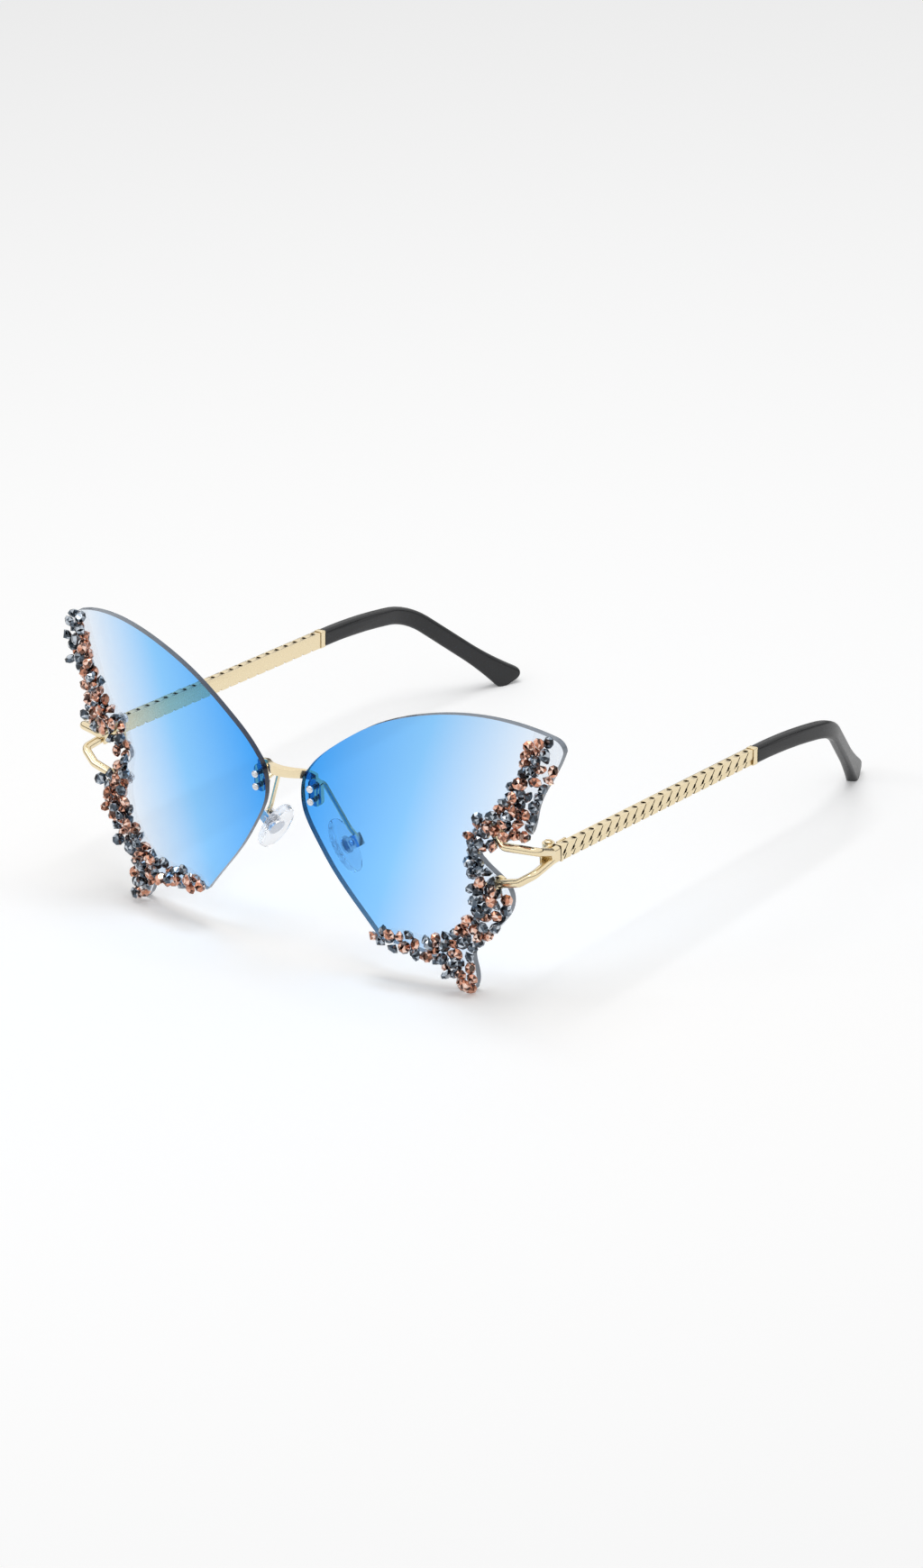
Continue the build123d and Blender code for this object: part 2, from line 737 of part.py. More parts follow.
def band_outline_points():
    return band_edge_points() + outline_points(band_inner_shares)[::-1]


def inside(x, z, corners):
    """Whether a front view point lies within a ring of corners."""
    within = False
    for one, two in zip(corners, corners[1:] + corners[:1]):
        if (one.Z > z) != (two.Z > z):
            if x < one.X + (two.X - one.X) * (z - one.Z) / (two.Z - one.Z):
                within = not within
    return within


def crystal_bars():
    """Segments of the prongs that the crystals keep clear of."""
    bars = []
    for shares in (upper_prong_shares, lower_prong_shares):
        start, reach, bow = prong_points(shares)
        bars += [(start, reach), (reach, bow)]
    return bars


def prong_start_places():
    """Places close together along the middle line of each prong's first run, for stones to rest on."""
    places = []
    for shares in (upper_prong_shares, lower_prong_shares):
        start, reach = outline_points(shares[:2])
        for step in range(crystal_prong_steps + 1):
            share = step / crystal_prong_steps
            spot = start + (reach - start) * share
            places.append((spot.X, spot.Z, prong_lift + (prong_stand_off - prong_lift) * share))
    return places


def crystal_ground(x, z):
    """How high a stone's middle stands on the bed, on an end piece's foot or on the screw in it."""
    spot = flat_point(x, z)
    seat = bed_thickness
    for screw, shares in zip(fork_screws, (upper_prong_shares, lower_prong_shares)):
        if distance_to_segment(spot, screw, outline_point(shares[0])) < fork_foot_radius + crystal_ball:
            seat = max(seat, fork_foot_thickness)
        if (spot - screw).length < screw_head_radius + crystal_ball:
            seat = max(seat, fork_foot_thickness + screw_head_height + seat_clearance)
    return seat + crystal_ball + crystal_gap


def edge_spots():
    """Front view places of the stones that follow the lens edge, all but touching."""
    outer = band_edge_points()
    spots = []
    for one, two in zip(outer, outer[1:]):
        along = (two - one).normalized()
        inward = Vector(along.Z, 0, -along.X) * crystal_ball * crystal_row_share
        for step in range(int((two - one).length / crystal_row_step) + 1):
            spot = one + along * step * crystal_row_step + inward
            if all((spot - other).length > crystal_pitch for other in spots):
                spots.append(spot)
    return [(spot.X, spot.Z) for spot in spots]


def base_spots(draw):
    """Front view places of the lowest stones: a turned, slightly loose close packing."""
    reach = int(lens_height / crystal_pitch)
    turn = draw.uniform(0, math.pi)
    loose = (crystal_pitch - crystal_spacing) / 2
    spots = []
    for row in range(-reach, reach + 1):
        for column in range(-2 * reach, 2 * reach + 1):
            along = (column + row / 2) * crystal_pitch
            up = row * crystal_pitch * math.sin(math.radians(60))
            x = lens_width + along * math.cos(turn) - up * math.sin(turn) + draw.uniform(-loose, loose)
            z = lens_height / 2 + along * math.sin(turn) + up * math.cos(turn) + draw.uniform(-loose, loose)
            spots.append((x, z))
    return spots


def crystal_places(side):
    """Heaped, randomly turned places that never touch: planes for the copper and the grey stones."""
    draw = random.Random(crystal_seeds[side])
    corners = band_outline_points()
    edges = list(zip(corners, corners[1:] + corners[:1]))
    bars = crystal_bars()
    prong_props = prong_start_places()
    low_x, high_x = min(corner.X for corner in corners), max(corner.X for corner in corners)
    low_z, high_z = crystal_ball + crystal_gap, max(corner.Z for corner in corners)

    def fits(x, z):
        if not (low_x < x < high_x and low_z < z < high_z and inside(x, z, corners)):
            return False
        nearest = min(distance_to_segment(flat_point(x, z), one, two) for one, two in edges)
        return nearest > crystal_ball * crystal_edge_share

    def rest_on(x, z, others):
        lift = crystal_ground(x, z)
        for props, reach in ((others, crystal_spacing), (prong_props, prong_spacing)):
            for prop_x, prop_z, prop_lift in props:
                gap = math.hypot(x - prop_x, z - prop_z)
                if gap < reach:
                    lift = max(lift, prop_lift + math.sqrt(reach ** 2 - gap ** 2))
        return lift

    def clear(x, z, lift):
        centre = on_lens(x, z, lift).origin
        if centre.X > lens_reach - crystal_ball:
            return False
        return all(distance_to_segment(centre, one, two) > prong_spacing for one, two in bars)

    placed = []
    for x, z in edge_spots() + base_spots(draw):
        lift = crystal_ground(x, z)
        if fits(x, z) and clear(x, z, lift) and rest_on(x, z, placed) == lift:
            placed.append((x, z, lift))
    tries = range(crystal_heap_tries)
    darts = [(draw.uniform(low_x, high_x), draw.uniform(low_z, high_z)) for attempt in tries]
    darts = [dart for dart in darts if fits(*dart)]
    for x, z in sorted(darts, key=lambda dart: rest_on(*dart, placed)):
        lift = rest_on(x, z, placed)
        if lift < crystal_ground(x, z) + crystal_heap and clear(x, z, lift):
            placed.append((x, z, lift))
    groups = {"copper": [], "grey": []}
    for x, z, lift in placed:
        spin, turn = draw.uniform(0, 360), draw.uniform(0, 360)
        tilt = draw.uniform(0, crystal_tilt_limit) + draw.choice((0, 180))
        colour = "copper" if draw.random() < copper_share else "grey"
        groups[colour].append(Plane(on_lens(x, z, lift).location * Rot(0, 0, spin) * Rot(tilt, 0, turn)))
    return groups


def mirrored(plane):
    """The same plane seen in the mirror: it suits shapes that are alike on both sides of their x axis."""
    flip = [Vector(-one.X, one.Y, one.Z) for one in (plane.origin, plane.x_dir, plane.z_dir)]
    return Plane(flip[0], x_dir=flip[1], z_dir=flip[2])


def crystal_group(places):
    stone = crystal()
    return [place.location * stone for place in places]


def adhesive_bed():
    """Thin clear bed on the lens front, open round the end piece feet."""
    corners = outline_points(band_inner_shares + band_outer_shares)
    band = make_face(Wire.make_polygon(corners)) & lens_outline()
    bed = rind(band, 0, bed_thickness)
    for screw, shares in zip(fork_screws, (upper_prong_shares, lower_prong_shares)):
        opening = stadium(screw, outline_point(shares[0]), fork_foot_radius + bed_margin)
        bed -= rind(opening, -bed_thickness, 2 * bed_thickness)
    return bed


# Assembly

def both_sides(pieces, name, shape):
    pieces[name + "_right"] = shape
    pieces[name + "_left"] = mirror_all(shape)


def mirror_all(shape):
    if isinstance(shape, list):
        return [mirror(one, about=Plane.YZ) for one in shape]
    return mirror(shape, about=Plane.YZ)


def as_list(shape):
    return shape if isinstance(shape, list) else [shape]


def assemble():
    pieces = {"bridge": bridge()}
    both_sides(pieces, "lens", lens())
    both_sides(pieces, "bridge_screws", screw_group(bridge_screw_spots, seat_clearance, bridge_grip))
    both_sides(pieces, "bridge_nuts", nut_group(bridge_screw_spots, 0, bridge_grip))
    box = pad_box()
    both_sides(pieces, "pad_box", box)
    both_sides(pieces, "pad_arm", pad_arm() - box - pieces["bridge"])
    both_sides(pieces, "pad_screw", pad_screw())
    both_sides(pieces, "nose_pad", nose_pad())
    both_sides(pieces, "pad_insert", pad_insert())
    both_sides(pieces, "end_piece", end_piece())
    seat = fork_foot_thickness + seat_clearance
    both_sides(pieces, "end_piece_screws", screw_group(fork_screw_spots, seat, fork_grip + seat_clearance))
    both_sides(pieces, "end_piece_nuts", nut_group(fork_screw_spots, fork_foot_thickness, fork_grip))
    both_sides(pieces, "end_piece_washers", washer_group(fork_screw_spots))
    both_sides(pieces, "front_hinge", front_hinge())
    both_sides(pieces, "temple_hinge", temple_hinge())
    both_sides(pieces, "hinge_screw", hinge_screw())
    both_sides(pieces, "temple", temple())
    both_sides(pieces, "temple_collar", collar())
    both_sides(pieces, "temple_tip", temple_tip())
    both_sides(pieces, "tip_core", tip_core())
    both_sides(pieces, "adhesive_bed", adhesive_bed())
    for side in ("right", "left"):
        for colour, places in crystal_places(side).items():
            if side == "left":
                places = [mirrored(place) for place in places]
            pieces[colour + "_crystals_" + side] = crystal_group(places)
    return pieces


def resting_frame(pieces):
    """Move that puts the origin under the middle of the whole, on the surface that it stands on."""
    boxes = [one.bounding_box() for shape in pieces.values() for one in as_list(shape)]
    front = min(box.min.Y for box in boxes)
    back = max(box.max.Y for box in boxes)
    floor = min(box.min.Z for box in boxes)
    return Pos(0, -(front + back) / 2, -floor)


def main():
    pieces = assemble()
    move = resting_frame(pieces)
    os.makedirs("parts", exist_ok=True)
    for name, shape in pieces.items():
        solids = [move * solid for one in as_list(shape) for solid in one.solids()]
        export_step(solids[0] if len(solids) == 1 else Compound(children=solids), "parts/" + name + ".step")


main()
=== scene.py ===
"""Butterfly sunglasses: the dressed pieces, their materials, and a plain studio round them."""

import json
import math
import random

import bmesh
import bpy
from bpy.props import FloatProperty, FloatVectorProperty, IntProperty, PointerProperty
from mathutils import Matrix, Vector

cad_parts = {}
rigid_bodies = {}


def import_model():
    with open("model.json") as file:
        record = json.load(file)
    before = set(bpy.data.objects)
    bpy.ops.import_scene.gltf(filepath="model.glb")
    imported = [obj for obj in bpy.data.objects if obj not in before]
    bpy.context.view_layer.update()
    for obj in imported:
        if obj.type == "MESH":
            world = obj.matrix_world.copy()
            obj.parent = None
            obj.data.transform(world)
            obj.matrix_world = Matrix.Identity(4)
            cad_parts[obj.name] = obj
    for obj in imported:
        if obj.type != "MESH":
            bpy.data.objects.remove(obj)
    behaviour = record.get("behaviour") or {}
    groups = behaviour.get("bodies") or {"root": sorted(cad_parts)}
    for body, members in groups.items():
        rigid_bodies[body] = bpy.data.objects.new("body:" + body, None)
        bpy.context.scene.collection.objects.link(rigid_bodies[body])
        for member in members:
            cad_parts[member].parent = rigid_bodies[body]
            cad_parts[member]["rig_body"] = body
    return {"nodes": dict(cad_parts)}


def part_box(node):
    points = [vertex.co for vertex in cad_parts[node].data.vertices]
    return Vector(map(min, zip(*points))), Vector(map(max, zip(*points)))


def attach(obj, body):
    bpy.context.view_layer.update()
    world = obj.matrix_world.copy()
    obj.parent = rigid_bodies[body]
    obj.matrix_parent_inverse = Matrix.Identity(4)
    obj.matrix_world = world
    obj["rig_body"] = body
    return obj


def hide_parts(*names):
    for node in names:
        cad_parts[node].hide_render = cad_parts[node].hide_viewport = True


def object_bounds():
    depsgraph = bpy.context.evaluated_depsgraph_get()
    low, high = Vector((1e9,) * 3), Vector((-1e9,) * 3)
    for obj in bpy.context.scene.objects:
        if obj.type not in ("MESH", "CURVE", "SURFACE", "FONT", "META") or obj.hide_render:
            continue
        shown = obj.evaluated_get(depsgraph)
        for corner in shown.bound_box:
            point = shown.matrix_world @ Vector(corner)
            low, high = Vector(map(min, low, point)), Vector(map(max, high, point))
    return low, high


bl_info = {
    "name": "Butterfly Sunglasses",
    "version": (1, 0, 0),
    "blender": (4, 5, 0),
    "location": "3D View > Sidebar > Sunglasses",
    "description": "Dresses a pair of butterfly sunglasses and sets a studio round them",
    "category": "Object",
}

for leftover in list(bpy.data.objects):
    bpy.data.objects.remove(leftover)

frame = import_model()
cad_box = [list(corner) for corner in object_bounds()]

MM = 0.001
SIDES = ("right", "left")
WELD = 0.002 * MM

# Stones: a table, eight sides, and a point that is cut in two steps
STONE_SIDES = 8
TABLE_SHARE = 0.55
POINT_BREAK = 0.45
POINT_BREAK_SHARE = 0.6
FLAT_NORMAL = 0.9

# Lens: how squarely a face looks out to count as front or back, and where corners are eased
LENS_FACE_NORMAL = 0.7
LENS_CORNER_DEGREES = 60
LENS_SMOOTH_DEGREES = 30


def linear(hex_colour):
    """An sRGB hex colour as linear red, green, blue and alpha."""
    shares = [int(hex_colour[at:at + 2], 16) / 255 for at in (1, 3, 5)]
    return tuple(s / 12.92 if s <= 0.04045 else ((s + 0.055) / 1.055) ** 2.4 for s in shares) + (1.0,)


def colour_setting(name, description, hex_colour):
    return FloatVectorProperty(
        name=name, description=description, subtype="COLOR", size=4, min=0, max=1, default=linear(hex_colour))


def length_setting(name, description, millimetres):
    return FloatProperty(name=name, description=description, unit="LENGTH", min=0, default=millimetres * MM)


class LensSettings(bpy.types.PropertyGroup):
    deep_tint: colour_setting("Deep tint", "Colour of the lens beside the nose", "#44A6FA")
    middle_tint: colour_setting("Middle tint", "Colour of the lens halfway across", "#8CCBFD")
    clear_tint: colour_setting("Clear tint", "Colour of the lens at its outer edge", "#EDF3FA")
    edge_tint: colour_setting("Edge tint", "Colour of the ground edge beside the nose", "#1A2238")
    pale_edge_tint: colour_setting(
        "Pale edge tint", "Colour of the ground edge at the outer side", "#7D858F")
    fade_start: length_setting(
        "Fade start", "Distance from the middle where the tint begins to fade", 5.0)
    fade_end: length_setting("Fade end", "Distance from the middle where the lens is nearly clear", 60.0)
    fade_lean: FloatProperty(
        name="Fade lean", description="How far outward the fade moves for each step up the lens", default=0.33)
    fade_level: length_setting("Fade level", "Height at which the fade's own distances hold", 40.0)
    wrap_radius: length_setting("Wrap radius", "Radius that the lens front is curved to", 200.0)
    thickness: length_setting("Thickness", "Thickness of the lens", 1.6)
    edge_ease: length_setting("Edge ease", "Width of the polished corner round the rim", 0.18)
    strip_width: length_setting(
        "Strip width", "Width of the strips that the curved faces are divided in", 1.5)


class CrystalSettings(bpy.types.PropertyGroup):
    radius: length_setting("Radius", "Radius of a stone at its girdle", 1.25)
    girdle: length_setting("Girdle", "Height of the girdle", 0.15)
    crown: length_setting("Crown", "Height of the crown above the girdle", 0.5)
    pavilion: length_setting("Pavilion", "Depth of the point below the girdle", 1.05)
    growth: FloatProperty(
        name="Growth", description="How much larger each stone is, so that neighbours touch",
        subtype="FACTOR", min=1, max=1.5, default=1.2)
    seed: IntProperty(name="Seed", description="Seed of the facets' tones", min=0, default=7)
    # Painted reflections: the dark and light facet colours stand in for the stones' dark reflections and
    # highlights; the middling colour is the foil's own.
    copper_dark_reflection: colour_setting("Copper, dark facets", "Darkest facets of the copper stones", "#2E120A")
    copper_middle: colour_setting(
        "Copper, middling facets", "Most facets of the copper stones", "#DC9575")
    copper_highlight: colour_setting(
        "Copper, light facets", "Lightest facets of the copper stones", "#FFE6D8")
    grey_dark_reflection: colour_setting("Grey, dark facets", "Darkest facets of the grey stones", "#0F161E")
    grey_middle: colour_setting("Grey, middling facets", "Most facets of the grey stones", "#53616F")
    grey_highlight: colour_setting("Grey, light facets", "Lightest facets of the grey stones", "#D3DBE4")


class MetalSettings(bpy.types.PropertyGroup):
    gold: colour_setting("Gold", "Colour of the pale gold plating", "#EDDCB8")
    steel: colour_setting("Steel", "Colour of the screws and nuts", "#DADBDE")
    bridge_ease: length_setting("Bridge ease", "Rounded edge of the bridge", 0.42)
    small_ease: length_setting(
        "Small ease", "Rounded edge of the hinges, the links and the pads' boxes", 0.1)


class PlasticSettings(bpy.types.PropertyGroup):
    sleeve: colour_setting("Sleeve", "Colour of the temple tips", "#151619")
    pad: colour_setting("Pad", "Colour of the clear nose pads", "#F9FAFC")
    sleeve_ease: length_setting("Sleeve ease", "Rounded edge of the temple tips", 0.4)


class StageSettings(bpy.types.PropertyGroup):
    floor_size: length_setting("Floor size", "Width and depth of the floor", 6000.0)
    horizon_radius: length_setting(
        "Horizon radius", "How far away the dark wall round the floor stands", 2400.0)
    horizon_height: length_setting("Horizon height", "Height of the dark wall round the floor", 420.0)
    softbox_size: length_setting("Softbox size", "Width of the softbox overhead", 700.0)
    softbox_height: length_setting("Softbox height", "Height of the softbox overhead", 1100.0)
    softbox_power: FloatProperty(
        name="Softbox power", description="Power of the softbox overhead", unit="POWER", min=0, default=5.7)
    side_power: FloatProperty(
        name="Side light power", description="Power of the strip light in front", unit="POWER", min=0, default=0.6)
    ambient: FloatProperty(
        name="Ambient", description="Strength of the room's even light", min=0, default=0.42)
    azimuth: FloatProperty(
        name="Camera azimuth", description="Turn of the camera about the glasses", subtype="ANGLE",
        default=math.radians(38.362))
    elevation: FloatProperty(
        name="Camera elevation", description="Angle of the camera above the horizon", subtype="ANGLE",
        default=math.radians(24.045))
    roll: FloatProperty(
        name="Camera roll", description="Turn of the camera about its own line of sight", subtype="ANGLE",
        default=math.radians(-2.354))
    lens_length: FloatProperty(
        name="Focal length", description="Focal length in millimetres on a 36 mm sensor", min=1, default=245.96)
    distance: length_setting(
        "Camera distance", "Distance from the camera to the point that it looks at", 2500.0)


SETTINGS = {
    "glasses_lens": LensSettings,
    "glasses_crystal": CrystalSettings,
    "glasses_metal": MetalSettings,
    "glasses_plastic": PlasticSettings,
    "glasses_stage": StageSettings,
}
CAMERA_AIM = Vector((27.43, 32.175, 37.52)) * MM


# Objects and edit mode

def deselect():
    bpy.ops.object.select_all(action="DESELECT")


def only(piece):
    """Selects one object and makes it active."""
    deselect()
    piece.select_set(True)
    bpy.context.view_layer.objects.active = piece


def start_editing(piece, kind="FACE"):
    only(piece)
    bpy.ops.object.mode_set(mode="EDIT")
    bpy.ops.mesh.select_mode(type=kind)
    bpy.ops.mesh.select_all(action="SELECT")


def stop_editing():
    bpy.ops.object.mode_set(mode="OBJECT")


def select_faces(piece, wanted):
    """In edit mode, selects the faces for which wanted(face) is true, and nothing else."""
    mesh = bmesh.from_edit_mesh(piece.data)
    for face in mesh.faces:
        face.select_set(False)
    for face in mesh.faces:
        if wanted(face):
            face.select_set(True)
    mesh.select_flush(False)
    bmesh.update_edit_mesh(piece.data)


def apply_modifier(piece, kind, **settings):
    only(piece)
    bpy.ops.object.modifier_add(type=kind)
    modifier = piece.modifiers[-1]
    for name, value in settings.items():
        setattr(modifier, name, value)
    bpy.ops.object.modifier_apply(modifier=modifier.name)


def shade_by_angle(piece, degrees):
    only(piece)
    bpy.ops.object.shade_smooth_by_angle(angle=math.radians(degrees))


def welded_copy(name, node):
    """A copy of a modelled part under a name of its own, with its triangles joined up."""
    piece = bpy.data.objects.new(name, frame["nodes"][node].data.copy())
    bpy.context.scene.collection.objects.link(piece)
    only(piece)
    bpy.ops.mesh.customdata_custom_splitnormals_clear()
    start_editing(piece)
    bpy.ops.mesh.remove_doubles(threshold=WELD)
    stop_editing()
    return piece


def stand_in(piece, node, slot, *materials):
    """The piece takes the node's place and its body; the slot argument is not used."""
    piece.data.materials.clear()
    for made in materials:
        piece.data.materials.append(made)
    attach(piece, frame["nodes"][node]["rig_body"])
    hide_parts(node)


def dress(node, made):
    """Gives a modelled part that keeps its shape its material."""
    for slot in frame["nodes"][node].material_slots:
        slot.material = made


def eased_copy(name, node, ease, flat_degrees=1.0, sharp_degrees=35.0):
    """A welded copy with its sharp edges rounded over, as tumbling and plating leave them."""
    piece = welded_copy(name, node)
    start_editing(piece)
    bpy.ops.mesh.dissolve_limited(angle_limit=math.radians(flat_degrees))
    stop_editing()
    apply_modifier(
        piece, "BEVEL", width=ease, segments=3, limit_method="ANGLE",
        angle_limit=math.radians(sharp_degrees), use_clamp_overlap=True)
    shade_by_angle(piece, sharp_degrees)
    return piece


# Materials

def add_node(tree, kind, sockets=None, stops=None, **fields):
    """Adds a shader node. Sockets take a value or a link, and stops are a ramp's places and colours."""
    made = tree.nodes.new(kind)
    for name, value in fields.items():
        setattr(made, name, value)
    for name, value in (sockets or {}).items():
        if isinstance(value, bpy.types.NodeSocket):
            tree.links.new(value, made.inputs[name])
        else:
            made.inputs[name].default_value = value
    for index, (place, colour) in enumerate(stops or []):
        element = made.color_ramp.elements[index] if index < 2 else made.color_ramp.elements.new(place)
        element.position = place
        element.color = colour
    return made


def new_material(name):
    """An empty node material and its tree."""
    made = bpy.data.materials.new(name)
    made.use_nodes = True
    made.node_tree.nodes.clear()
    return made, made.node_tree


def finish_surface(tree, shader_socket):
    add_node(tree, "ShaderNodeOutputMaterial", {"Surface": shader_socket})


def uneven_roughness(tree, grain_mm, low, high):
    """Roughness that wanders between two values over patches of the given size."""
    place = add_node(tree, "ShaderNodeTexCoord")
    noise = add_node(
        tree, "ShaderNodeTexNoise",
        {"Vector": place.outputs["Object"], "Scale": 1 / (grain_mm * MM), "Detail": 3.0})
    spread = add_node(
        tree, "ShaderNodeMapRange",
        {"Value": noise.outputs["Fac"], "From Min": 0.3, "From Max": 0.7, "To Min": low, "To Max": high})
    return noise.outputs["Fac"], spread.outputs["Result"]


def fine_bump(tree, height_socket, depth_mm, strength):
    bump = add_node(
        tree, "ShaderNodeBump", {"Height": height_socket, "Distance": depth_mm * MM, "Strength": strength})
    return bump.outputs["Normal"]


def plated_gold(settings):
    """Zinc alloy with a pale gold plating: bright, with the faint orange peel of polished castings."""
    made, tree = new_material("pale_gold_plating")
    grain, roughness = uneven_roughness(tree, 1.2, 0.13, 0.22)
    surface = add_node(tree, "ShaderNodeBsdfPrincipled", {
        "Base Color": settings.gold, "Metallic": 1.0, "Roughness": roughness,
        "Normal": fine_bump(tree, grain, 0.02, 0.15)})
    finish_surface(tree, surface.outputs["BSDF"])
    return made


def cast_gold(settings):
    """The same plating on the temples' casting, a little duller, with painted shade: an ambient occlusion ramp
    darkens the gold to near black down between the links.
    """
    made, tree = new_material("cast_gold_plating")
    grain, roughness = uneven_roughness(tree, 0.6, 0.18, 0.3)
    # Painted shade: the occlusion ramp below darkens the gold towards near black in the hollows between the links.
    painted_shade_occlusion = add_node(tree, "ShaderNodeAmbientOcclusion", {"Distance": 1.3 * MM}, samples=8)
    shade = add_node(
        tree, "ShaderNodeValToRGB", {"Fac": painted_shade_occlusion.outputs["AO"]},
        stops=[(0.3, linear("#1C1814")), (0.86, tuple(settings.gold)), (0.62, linear("#A88F62"))])
    surface = add_node(tree, "ShaderNodeBsdfPrincipled", {
        "Base Color": shade.outputs["Color"], "Metallic": 1.0, "Roughness": roughness,
        "Normal": fine_bump(tree, grain, 0.03, 0.2)})
    finish_surface(tree, surface.outputs["BSDF"])
    return made


def nickel_steel(settings):
    """Nickel plated steel of the screws and nuts: bright, with a slightly uneven gloss."""
    made, tree = new_material("nickel_plated_steel")
    grain, roughness = uneven_roughness(tree, 0.5, 0.16, 0.28)
    surface = add_node(tree, "ShaderNodeBsdfPrincipled", {
        "Base Color": settings.steel, "Metallic": 1.0, "Roughness": roughness,
        "Normal": fine_bump(tree, grain, 0.01, 0.15)})
    finish_surface(tree, surface.outputs["BSDF"])
    return made


def let_lamps_through(tree, shader_socket, colour_socket):
    """Shadow rays pass clear plastic straight, so its shadow is as light as the real one."""
    path = add_node(tree, "ShaderNodeLightPath")
    window = add_node(tree, "ShaderNodeBsdfTransparent", {"Color": colour_socket})
    mix = add_node(tree, "ShaderNodeMixShader", {"Fac": path.outputs["Is Shadow Ray"]})
    tree.links.new(shader_socket, mix.inputs[1])
    tree.links.new(window.outputs["BSDF"], mix.inputs[2])
    return mix.outputs["Shader"]


def across_lens(tree, settings, *colours):
    """A colour that runs out from the nose in even steps, alike on both lenses, and leans out at the top."""
    place = add_node(tree, "ShaderNodeTexCoord")
    axes = add_node(tree, "ShaderNodeSeparateXYZ", {"Vector": place.outputs["Object"]})
    outward = add_node(tree, "ShaderNodeMath", {0: axes.outputs["X"]}, operation="ABSOLUTE")
    lean = add_node(tree, "ShaderNodeMath", {
        0: axes.outputs["Z"], 1: -settings.fade_lean, 2: settings.fade_lean * settings.fade_level},
        operation="MULTIPLY_ADD")
    distance = add_node(tree, "ShaderNodeMath", {0: outward.outputs["Value"], 1: lean.outputs["Value"]})
    share = add_node(tree, "ShaderNodeMapRange", {
        "Value": distance.outputs["Value"], "From Min": settings.fade_start, "From Max": settings.fade_end})
    stops = [(index / (len(colours) - 1), tuple(colour)) for index, colour in enumerate(colours)]
    mixed = add_node(tree, "ShaderNodeValToRGB", {"Fac": share.outputs["Result"]}, stops=stops)
    return mixed.outputs["Color"]


def tinted_lens(settings):
    """Dip tinted polycarbonate: deep blue at the nose, fading to clear.

    Its IOR is far below the plastic's 1.58, so that what stands behind the thin lens shows unbent.
    """
    made, tree = new_material("graded_blue_polycarbonate")
    tint = across_lens(tree, settings, settings.deep_tint, settings.middle_tint, settings.clear_tint)
    surface = add_node(tree, "ShaderNodeBsdfPrincipled", {
        "Base Color": tint, "Roughness": 0.0, "IOR": 1.04, "Transmission Weight": 1.0,
        "Coat Weight": 0.12, "Coat Roughness": 0.0})
    finish_surface(tree, let_lamps_through(tree, surface.outputs["BSDF"], linear("#F2F5F8")))
    return made


def ground_edge(settings):
    """Ground and polished polycarbonate rim, which gathers the tint and looks dark."""
    made, tree = new_material("polished_lens_edge")
    tint = across_lens(tree, settings, settings.edge_tint, settings.pale_edge_tint)
    grain, roughness = uneven_roughness(tree, 0.4, 0.12, 0.25)
    surface = add_node(tree, "ShaderNodeBsdfPrincipled", {
        "Base Color": tint, "Roughness": roughness, "IOR": 1.5, "Transmission Weight": 0.15,
        "Normal": fine_bump(tree, grain, 0.01, 0.2)})
    finish_surface(tree, surface.outputs["BSDF"])
    return made


def foiled_glass(name, *tones):
    """Foil backed glass, as a metal under a glassy coat: each facet shows its own tone, the foil's colour with
    painted reflections, dark reflections and near white highlights set at random per facet.
    """
    made, tree = new_material(name)
    # Painted reflections: the ramp runs from a painted dark reflection through the foil's own colour to a painted
    # highlight.
    tone = add_node(tree, "ShaderNodeAttribute", attribute_name="facet_painted_reflection")
    shade = add_node(
        tree, "ShaderNodeValToRGB", {"Fac": tone.outputs["Fac"]},
        stops=[(place, tuple(colour)) for place, colour in zip((0.1, 0.6, 1.0), tones)])
    surface = add_node(tree, "ShaderNodeBsdfPrincipled", {
        "Base Color": shade.outputs["Color"], "Metallic": 0.85, "Roughness": 0.12,
        "Coat Weight": 0.6, "Coat Roughness": 0.02})
    finish_surface(tree, surface.outputs["BSDF"])
    return made


def clear_silicone(settings):
    """Moulded clear silicone of the nose pads: satin, and only just seen.

    Its IOR is below silicone's 1.41, which keeps the small pads as faint as they look.
    """
    made, tree = new_material("clear_silicone")
    roughness = uneven_roughness(tree, 2.0, 0.1, 0.16)[1]
    surface = add_node(tree, "ShaderNodeBsdfPrincipled", {
        "Base Color": settings.pad, "Roughness": roughness, "IOR": 1.2, "Transmission Weight": 0.92})
    finish_surface(tree, let_lamps_through(tree, surface.outputs["BSDF"], settings.pad))
    return made


def clear_adhesive():
    """Cured clear adhesive: glossy, slightly lumpy, and nearly unseen under the stones."""
    made, tree = new_material("cured_clear_adhesive")
    grain, roughness = uneven_roughness(tree, 1.0, 0.04, 0.16)
    surface = add_node(tree, "ShaderNodeBsdfPrincipled", {
        "Base Color": linear("#FAFBFC"), "Roughness": roughness, "IOR": 1.48, "Alpha": 0.05,
        "Normal": fine_bump(tree, grain, 0.05, 0.2)})
    finish_surface(tree, surface.outputs["BSDF"])
    return made


def black_acetate(settings):
    """Black acetate sleeves, tumbled to a satin: soft broad highlights and a fine grain."""
    made, tree = new_material("satin_black_acetate")
    grain, roughness = uneven_roughness(tree, 0.5, 0.26, 0.36)
    surface = add_node(tree, "ShaderNodeBsdfPrincipled", {
        "Base Color": settings.sleeve, "Roughness": roughness, "IOR": 1.5,
        "Normal": fine_bump(tree, grain, 0.02, 0.25)})
    finish_surface(tree, surface.outputs["BSDF"])
    return made


# Pieces

